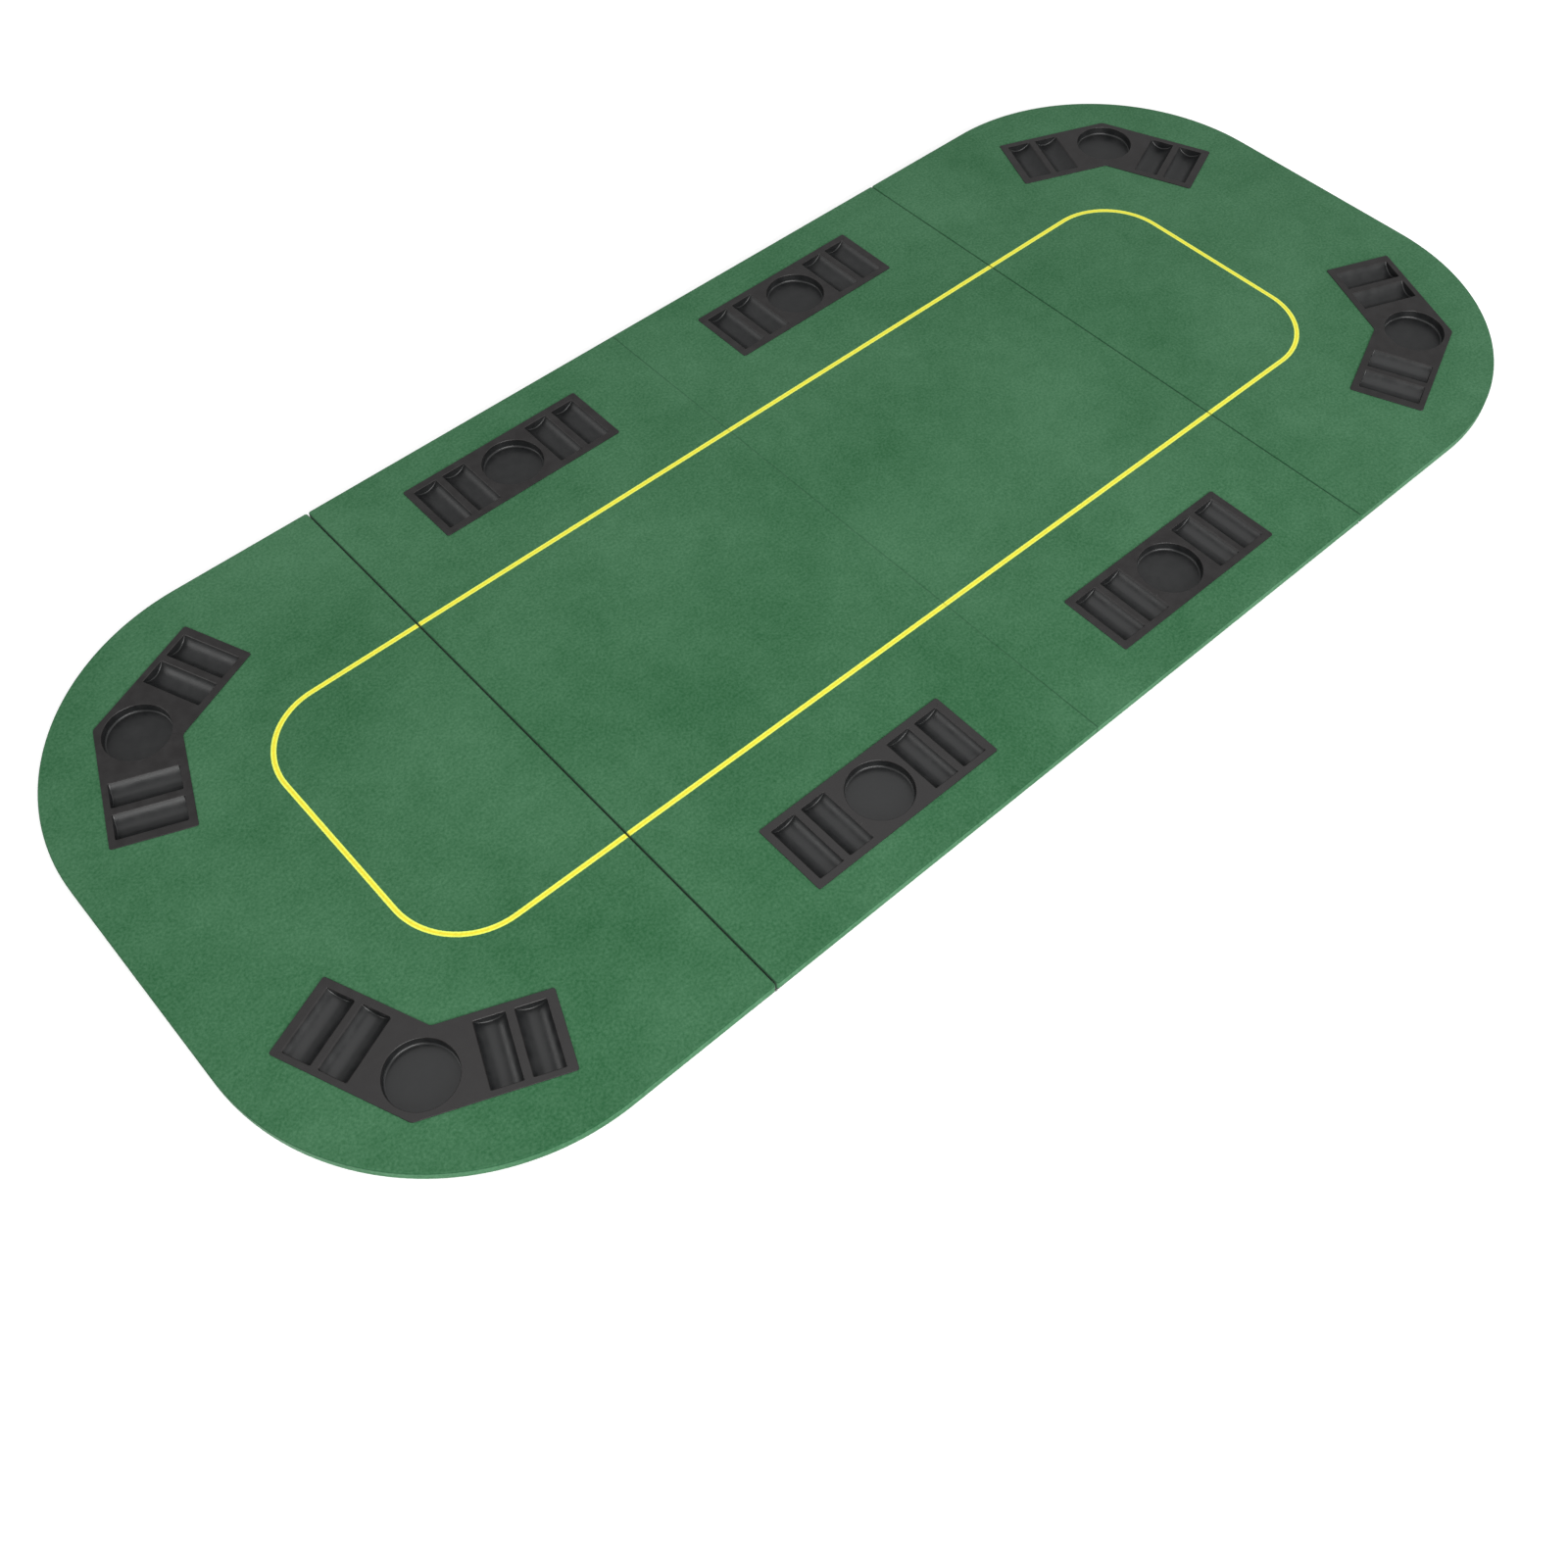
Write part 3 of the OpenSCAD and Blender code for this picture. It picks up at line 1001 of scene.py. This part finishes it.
def panel_block(name, panel, bottom, top, inset, past=0.0):
    """A block in a panel's outline, drawn in by inset on every edge but the cloth-hinged one.

    On the cloth-hinged edge it reaches past the outline instead.
    """
    settings = bpy.context.scene.card_table_covers
    low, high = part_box("felt_" + panel)
    hinged_x, other_x = seam_edges(panel)
    way = math.copysign(1, other_x - hinged_x)
    near_x = hinged_x + way * inset
    far_x = other_x - way * inset if is_end(panel) else other_x + way * past
    block = add_block(
        name,
        (min(near_x, far_x), low[1] + inset, bottom),
        (max(near_x, far_x), high[1] - inset, top),
    )
    small = settings.seam_corner_radius - inset
    if small > TINY:
        bevel_edges(block, lambda e: upright(e) and all_at(e, 0, near_x), small, CORNER_STEPS)
    if is_end(panel):
        large = settings.corner_radius - inset
        bevel_edges(block, lambda e: upright(e) and all_at(e, 0, far_x), large, LARGE_CORNER_STEPS)
    return block


def round_rims(cover, panel):
    """Rounds the cover's upper and lower rims, but not along the cloth-hinged seam."""
    settings = bpy.context.scene.card_table_covers
    low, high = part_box("felt_" + panel)
    open_x = None if is_end(panel) else seam_edges(panel)[1]
    for height, radius in ((high[2], settings.edge_radius), (low[2], settings.under_radius)):
        bevel_edges(
            cover,
            lambda e: all_at(e, 2, height) and (open_x is None or not all_at(e, 0, open_x)),
            radius,
            CORNER_STEPS,
        )


def tray_key(panel, side):
    return f"{panel}_{side}"


def straight_block(name, lip, bottom, top, corner):
    """A straight tray's outline, drawn in by lip, with its cup at the origin."""
    low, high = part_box("tray_mid_left_near")
    x, y = (high[0] - low[0]) / 2 - lip, (high[1] - low[1]) / 2 - lip
    block = add_block(name, (-x, -y, bottom), (x, y, top))
    bevel_edges(block, upright, corner, CORNER_STEPS)
    return block


def bent_block(name, lip, bottom, top):
    """A bent tray's outline, drawn in by lip: its cup is at the origin and its point towards +X."""
    settings = bpy.context.scene.card_table_trays
    half = settings.leg_width / 2 - lip
    block = add_block(name, (-2 * half, -half, bottom), (settings.leg_length - lip, half, top))
    turn(block, settings.leg_angle)
    slice_at(block, (0, 0, 0), (0, -1, 0), drop=True)
    apply_modifier(block, "MIRROR", use_axis=(False, True, False), merge_threshold=TINY)
    tidy_mesh(block, math.radians(1))
    block.location.x = -settings.bend_shift
    return settle(block)


def place_tray(piece, key):
    """Moves a tray shape from the origin to its cup, with a bent one's point facing outwards."""
    x, y, _ = CUPS[key]["pos_m"]
    piece.location = (x, y, 0)
    piece.rotation_euler.z = (
        math.atan2(math.copysign(1, y), math.copysign(1, x)) if is_end(key) else 0
    )
    return settle(piece)


def tray_hole(key):
    """The block that cuts a tray's opening through the top of the felt."""
    settings = bpy.context.scene.card_table_trays
    bottom, top = BOARD_TOP - 1 * MM, TRAY_TOP + 1 * MM
    if is_end(key):
        hole = bent_block("hole", settings.lip, bottom, top)
    else:
        hole = straight_block("hole", settings.lip, bottom, top, settings.opening_corner)
    return place_tray(hole, key)


def felt_cover(panel):
    """One panel's felt: over the top, down the edges and under as a hem."""
    settings = bpy.context.scene.card_table_covers
    felt_low, felt_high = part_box("felt_" + panel)
    board_low, board_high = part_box("board_" + panel)
    past = 5 * MM
    cover = panel_block("felt_cover_" + panel, panel, felt_low[2], felt_high[2], 0)
    round_rims(cover, panel)
    cuts = [
        panel_block("board room", panel, board_low[2], board_high[2], FELT_THICKNESS, past),
        panel_block(
            "hem opening", panel, felt_low[2] - past, board_low[2] + past, settings.hem_width, past
        ),
    ]
    cuts += [tray_hole(tray_key(panel, side)) for side in ("near", "far")]
    if not is_end(panel):
        other_x = seam_edges(panel)[1]
        inner_x = MIDDLE_SEAM + math.copysign(settings.bridge_half, other_x - MIDDLE_SEAM)
        x0, x1 = sorted((inner_x, 2 * MIDDLE_SEAM - inner_x))
        cuts.append(
            add_block(
                "bridge room",
                (x0, felt_low[1] - past, board_high[2]),
                (x1, felt_high[1] + past, felt_high[2] + past),
            )
        )
    for cut in cuts:
        combine(cover, cut, "DIFFERENCE")
    smooth(cover)
    remember_place(cover)
    finish_piece(cover, felt_material(), panel, ["felt_" + panel])
    return cover


def felt_bridge():
    """The strip of felt that crosses the middle seam, with a shallow crease sunk over the seam."""
    settings = bpy.context.scene.card_table_covers
    low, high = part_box("felt_mid_left")
    half = settings.bridge_half
    bridge = add_block(
        "felt_bridge",
        (MIDDLE_SEAM - half, low[1], BOARD_TOP - 5 * MM),
        (MIDDLE_SEAM + half, high[1], FELT_TOP),
    )
    bevel_edges(
        bridge,
        lambda e: all_at(e, 2, FELT_TOP) and abs(ends(e)[0].y - ends(e)[1].y) < TINY,
        settings.edge_radius,
        CORNER_STEPS,
    )
    slice_at(bridge, (0, 0, BOARD_TOP), (0, 0, -1), drop=True, fill=True)
    crease = settings.crease_half
    for share in (-1, -0.6, -0.3, 0, 0.3, 0.6, 1):
        slice_at(bridge, (MIDDLE_SEAM + share * crease, 0, 0), (1, 0, 0))
    rows = 22
    reach = high[1] - 10 * MM
    for row in range(rows + 1):
        slice_at(bridge, (0, -reach + 2 * reach * row / rows, 0), (0, 1, 0))
    sink_crease(bridge, crease, reach)
    tidy_mesh(bridge)
    smooth(bridge, 60)
    remember_place(bridge)
    finish_piece(bridge, felt_material())
    fold_over_seam(bridge)


def sink_crease(bridge, crease, reach):
    """Lets the felt sink into the seam, less towards the two ends of the seam."""
    depth = bpy.context.scene.card_table_covers.crease_depth
    for vertex in bridge.data.vertices:
        point = vertex.co
        if point.z > FELT_TOP - TINY:
            across = max(0.0, 1 - abs(point.x - MIDDLE_SEAM) / crease)
            along = max(0.0, 1 - (abs(point.y) / reach) ** 4)
            point.z -= depth * across**1.5 * along


def fold_over_seam(piece):
    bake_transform(piece)


def hinge_tape():
    """The cotton tape under the felt that joins the two middle boards."""
    low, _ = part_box("tape_left")
    _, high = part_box("tape_right")
    crease = bpy.context.scene.card_table_covers.crease_half
    tape = add_block("hinge_tape", low, high)
    for share in (-1, -0.5, 0, 0.5, 1):
        slice_at(tape, (MIDDLE_SEAM + share * crease, 0, 0), (1, 0, 0))
    bevel_edges(
        tape,
        lambda e: all_at(e, 2, high[2]) and (all_at(e, 0, low[0]) or all_at(e, 0, high[0])),
        0.2 * MM,
        2,
    )
    tidy_mesh(tape)
    remember_place(tape)
    finish_piece(tape, tape_material(), nodes=["tape_left", "tape_right"])
    fold_over_seam(tape)


# ---- Trays ----


def cup_form(grow, top):
    """The inside of a cup holder, grown outwards by grow, up to a height."""
    settings = bpy.context.scene.card_table_trays
    bottom = TRAY_TOP - CUP_DEPTH - grow
    form = add_rod(
        "cup form",
        CUP_RADIUS + grow,
        top - bottom,
        (0, 0, (top + bottom) / 2),
        False,
        settings.round_steps,
    )
    bevel_edges(form, lambda e: all_at(e, 2, bottom), settings.cup_fillet + grow, 8)
    return form


def chip_form(grow, top, distance, angle):
    """The inside of a chip slot, a lying cylinder, grown by grow and cut off at a height."""
    settings = bpy.context.scene.card_table_trays
    half = settings.chip_length / 2 + grow
    middle = TRAY_TOP - settings.chip_depth + settings.chip_radius
    form = add_rod(
        "chip form",
        settings.chip_radius + grow,
        2 * half,
        (distance, 0, middle),
        True,
        settings.round_steps,
    )
    bevel_edges(
        form,
        lambda e: all_at(e, 1, half) or all_at(e, 1, -half),
        settings.chip_fillet + grow,
        4,
    )
    slice_at(form, (0, 0, top), (0, 0, 1), drop=True, fill=True)
    return turn(form, angle)


def pocket_forms(slots, grow, top):
    forms = [cup_form(grow, top)]
    forms += [chip_form(grow, top, distance, angle) for distance, angle in slots]
    return join(forms, "pockets")


def on_flange_side(edge):
    """Whether an edge belongs to the thin outer side of the flange."""
    settings = bpy.context.scene.card_table_trays
    underside = TRAY_TOP - settings.wall
    return any(
        abs(face.normal.z) < 0.01
        and abs(min(vertex.co.z for vertex in face.verts) - underside) < TINY
        for face in edge.link_faces
    )


def mould_tray(flange, slots):
    """Hangs a cup holder and chip slots from a flange, then rounds the rims and edges."""
    settings = bpy.context.scene.card_table_trays
    half_way = TRAY_TOP - settings.wall / 2
    combine(flange, pocket_forms(slots, settings.wall, half_way), "UNION")
    combine(flange, pocket_forms(slots, 0.0, TRAY_TOP + 4 * MM), "DIFFERENCE")
    tidy_mesh(flange, math.radians(0.5))
    bevel_edges(
        flange, lambda e: all_at(e, 2, TRAY_TOP) and not on_flange_side(e), settings.rim, 4
    )
    apply_modifier(
        flange,
        "BEVEL",
        width=settings.edge,
        segments=3,
        limit_method="ANGLE",
        angle_limit=math.radians(40),
        use_clamp_overlap=False,
    )
    tidy_mesh(flange)
    smooth(flange)
    return flange


def straight_tray():
    settings = bpy.context.scene.card_table_trays
    flange = straight_block(
        "straight tray", 0.0, TRAY_TOP - settings.wall, TRAY_TOP, settings.corner
    )
    slots = [
        (side * (settings.straight_first + step * settings.chip_pitch), 0.0)
        for side in (-1, 1)
        for step in (0, 1)
    ]
    return mould_tray(flange, slots)


def bent_tray():
    settings = bpy.context.scene.card_table_trays
    flange = bent_block("bent tray", 0.0, TRAY_TOP - settings.wall, TRAY_TOP)
    bevel_edges(flange, upright, settings.corner, CORNER_STEPS)
    slots = [
        (settings.bent_first + step * settings.chip_pitch, side * settings.leg_angle)
        for side in (-1, 1)
        for step in (0, 1)
    ]
    return mould_tray(flange, slots)


def set_trays(model, form, panels):
    """Copies a tray into each opening of these panels, and uses the model up."""
    for panel in panels:
        for side in ("near", "far"):
            key = tray_key(panel, side)
            tray = place_tray(copy_of(model, f"{form}_tray_{key}"), key)
            finish_piece(tray, tray_material(), panel, ["tray_" + key])
    remove(model)


# ---- Feet ----

# Each foot's distance from the hinged seam and from the table's long centre line
FOOT_PLACES = {
    "mid": ((70 * MM, 250 * MM), (430 * MM, 250 * MM)),
    "end": ((70 * MM, 150 * MM), (430 * MM, 60 * MM)),
}


def foot_model():
    """A rubber foot with a rounded rim and a shallow dish underneath."""
    settings = bpy.context.scene.card_table_fittings
    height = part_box("feet_mid_left")[1][2]
    foot = add_rod("foot", settings.foot_radius, height, (0, 0, height / 2), False, 40)
    bevel_edges(foot, lambda e: all_at(e, 2, 0), settings.foot_rim, 4)
    with Editing(foot, "FACE") as edit:
        edit.pick(lambda f: f.normal.z < -0.99 and abs(f.calc_center_median().z) < TINY)
        bpy.ops.mesh.inset(thickness=settings.foot_wall)
        bpy.ops.mesh.inset(thickness=settings.foot_slope, depth=-settings.foot_dish)
    smooth(foot, 40)
    return foot


def set_feet(panel):
    """Puts a panel's four feet in their places and joins them."""
    hinged_x, other_x = seam_edges(panel)
    way = math.copysign(1, other_x - hinged_x)
    feet = []
    for along, across in FOOT_PLACES["end" if is_end(panel) else "mid"]:
        for side in (-1, 1):
            foot = foot_model()
            foot.location = (hinged_x + way * along, side * across, 0)
            feet.append(settle(foot))
    joined = join(feet, "rubber_feet_" + panel)
    finish_piece(joined, rubber_material(), panel, ["feet_" + panel])


# ---- Finishes of the frame's own pieces ----


def paint(node, material):
    for slot in frame["nodes"][node].material_slots:
        slot.material = material


def paint_frame():
    """Gives the frame's boards, hinges, pins, screws and staples their own finishes."""
    along_seam = (4.0, 0.12, 4.0)
    leaf_steel = steel_material("rolled hinge steel", along_seam, 0.36)
    pin_steel = steel_material("drawn pin steel", along_seam, 0.28, 0.7)
    wire = steel_material("staple wire", (1.0, 1.0, 1.0), 0.33, 0.75)
    screw_steel = steel_material("plated screws", (1.0, 1.0, 1.0), 0.3, 0.9)
    for panel in PANELS:
        paint("board_" + panel, board_material())
        paint("screws_" + panel, screw_steel)
        paint("staples_" + panel, wire)
        for spot in SPOTS:
            paint(f"leaf_{panel}_{spot}", leaf_steel)
    for side in ("left", "right"):
        for spot in SPOTS:
            paint(f"pin_{side}_{spot}", pin_steel)


# ---- Stage ----


def add_softbox(name, place, target, size, power, colour):
    bpy.ops.object.select_all(action="DESELECT")
    bpy.ops.object.light_add(type="AREA", location=place)
    lamp = bpy.context.object
    lamp.name = name
    lamp.data.shape = "RECTANGLE"
    lamp.data.size, lamp.data.size_y = size
    lamp.data.energy = power
    lamp.data.color = colour
    lamp.rotation_euler = (Vector(target) - Vector(place)).to_track_quat("-Z", "Y").to_euler()


def floor_material():
    material, tree, surface = new_material(
        "pale floor", {"Specular IOR Level": 0.0, "Roughness": 0.9, "Emission Strength": 0.35}
    )
    clouds = noise(tree, object_place(tree), 0.6, 1.0)
    white = blend_colours(tree, clouds, (0.87, 0.87, 0.87, 1), (0.89, 0.89, 0.89, 1))
    tree.links.new(white, surface["Base Color"])
    tree.links.new(white, surface["Emission Color"])
    return material


def set_stage():
    """A pale floor, four softboxes, an even white surround and the camera."""
    settings = bpy.context.scene.card_table_stage
    bpy.ops.object.select_all(action="DESELECT")
    bpy.ops.mesh.primitive_plane_add(size=30, location=(0, 0, 0))
    floor = settle(bpy.context.object)
    floor.name = "floor"
    floor.data.materials.append(floor_material())
    add_softbox("overhead softbox", (0.3, 0.0, 3.6), (0, 0, 0), (3.9, 3.9), 40, (1, 1, 1))
    add_softbox("front softbox", (-1.1, -3.4, 1.6), (0, 0, 0.2), (3.4, 2.0), 160, (1, 1, 0.99))
    add_softbox("side softbox", (-3.4, 1.9, 2.0), (0, 0, 0), (2.4, 1.7), 28, (1, 1, 0.99))
    add_softbox("rim softbox", (3.2, -2.2, 1.5), (0, 0, 0), (1.6, 0.8), 16, (1, 1, 1))
    world = bpy.data.worlds.new("soft studio")
    world.use_nodes = True
    background = world.node_tree.nodes["Background"].inputs
    background["Color"].default_value = (1.0, 1.0, 1.0, 1.0)
    background["Strength"].default_value = settings.light
    bpy.context.scene.world = world
    bpy.ops.object.select_all(action="DESELECT")
    bpy.ops.object.camera_add(location=settings.camera_place, rotation=settings.camera_turn)
    camera = bpy.context.object
    camera.name = "camera"
    camera.data.sensor_width = 36
    camera.data.lens = settings.lens
    camera.data.clip_end = 100
    bpy.context.scene.camera = camera
    bpy.context.scene.view_settings.view_transform = "Standard"


# ---- Operators, panel and registration ----


class CARDTABLE_OT_covers(bpy.types.Operator):
    """Make the felt covers of the four panels and the felt that bridges the middle seam"""

    bl_idname = "card_table.covers"
    bl_label = "Felt Covers"

    def execute(self, context):
        for panel in PANELS:
            felt_cover(panel)
        felt_bridge()
        return {"FINISHED"}


class CARDTABLE_OT_tape(bpy.types.Operator):
    """Make the cotton hinge tape under the felt of the middle seam"""

    bl_idname = "card_table.tape"
    bl_label = "Hinge Tape"

    def execute(self, context):
        hinge_tape()
        return {"FINISHED"}


class CARDTABLE_OT_straight_trays(bpy.types.Operator):
    """Make the four straight trays of the middle panels"""

    bl_idname = "card_table.straight_trays"
    bl_label = "Straight Trays"

    def execute(self, context):
        set_trays(straight_tray(), "straight", ("mid_left", "mid_right"))
        return {"FINISHED"}


class CARDTABLE_OT_bent_trays(bpy.types.Operator):
    """Make the four bent trays of the end panels"""

    bl_idname = "card_table.bent_trays"
    bl_label = "Bent Trays"

    def execute(self, context):
        set_trays(bent_tray(), "bent", ("end_left", "end_right"))
        return {"FINISHED"}


class CARDTABLE_OT_feet(bpy.types.Operator):
    """Make the rubber feet of the four panels"""

    bl_idname = "card_table.feet"
    bl_label = "Rubber Feet"

    def execute(self, context):
        for panel in PANELS:
            set_feet(panel)
        return {"FINISHED"}


class CARDTABLE_OT_finishes(bpy.types.Operator):
    """Give the boards, hinges, pins, screws and staples their finishes"""

    bl_idname = "card_table.finishes"
    bl_label = "Board and Metal Finishes"

    def execute(self, context):
        paint_frame()
        return {"FINISHED"}


class CARDTABLE_OT_stage(bpy.types.Operator):
    """Set the floor, the soft light and the camera"""

    bl_idname = "card_table.stage"
    bl_label = "Stage"

    def execute(self, context):
        set_stage()
        return {"FINISHED"}


STEPS = (
    CARDTABLE_OT_covers,
    CARDTABLE_OT_tape,
    CARDTABLE_OT_straight_trays,
    CARDTABLE_OT_bent_trays,
    CARDTABLE_OT_feet,
    CARDTABLE_OT_finishes,
    CARDTABLE_OT_stage,
)
SETTINGS = {
    "card_table_covers": CoverSettings,
    "card_table_trays": TraySettings,
    "card_table_fittings": FittingSettings,
    "card_table_stage": StageSettings,
}


class CARDTABLE_PT_panel(bpy.types.Panel):
    """The steps that dress the table top, in order"""

    bl_idname = "CARDTABLE_PT_panel"
    bl_label = "Card Table Top"
    bl_space_type = "VIEW_3D"
    bl_region_type = "UI"
    bl_category = "Card Table"

    def draw(self, context):
        for step in STEPS:
            self.layout.operator(step.bl_idname)


def register():
    for group in (*SETTINGS.values(), *STEPS, CARDTABLE_PT_panel):
        bpy.utils.register_class(group)
    for name, group in SETTINGS.items():
        setattr(bpy.types.Scene, name, PointerProperty(type=group))


def unregister():
    for name in SETTINGS:
        delattr(bpy.types.Scene, name)
    for group in reversed((*SETTINGS.values(), *STEPS, CARDTABLE_PT_panel)):
        bpy.utils.unregister_class(group)


def main():
    register()
    for step in STEPS:
        area, name = step.bl_idname.split(".")
        getattr(getattr(bpy.ops, area), name)()


if __name__ == "__main__":
    main()
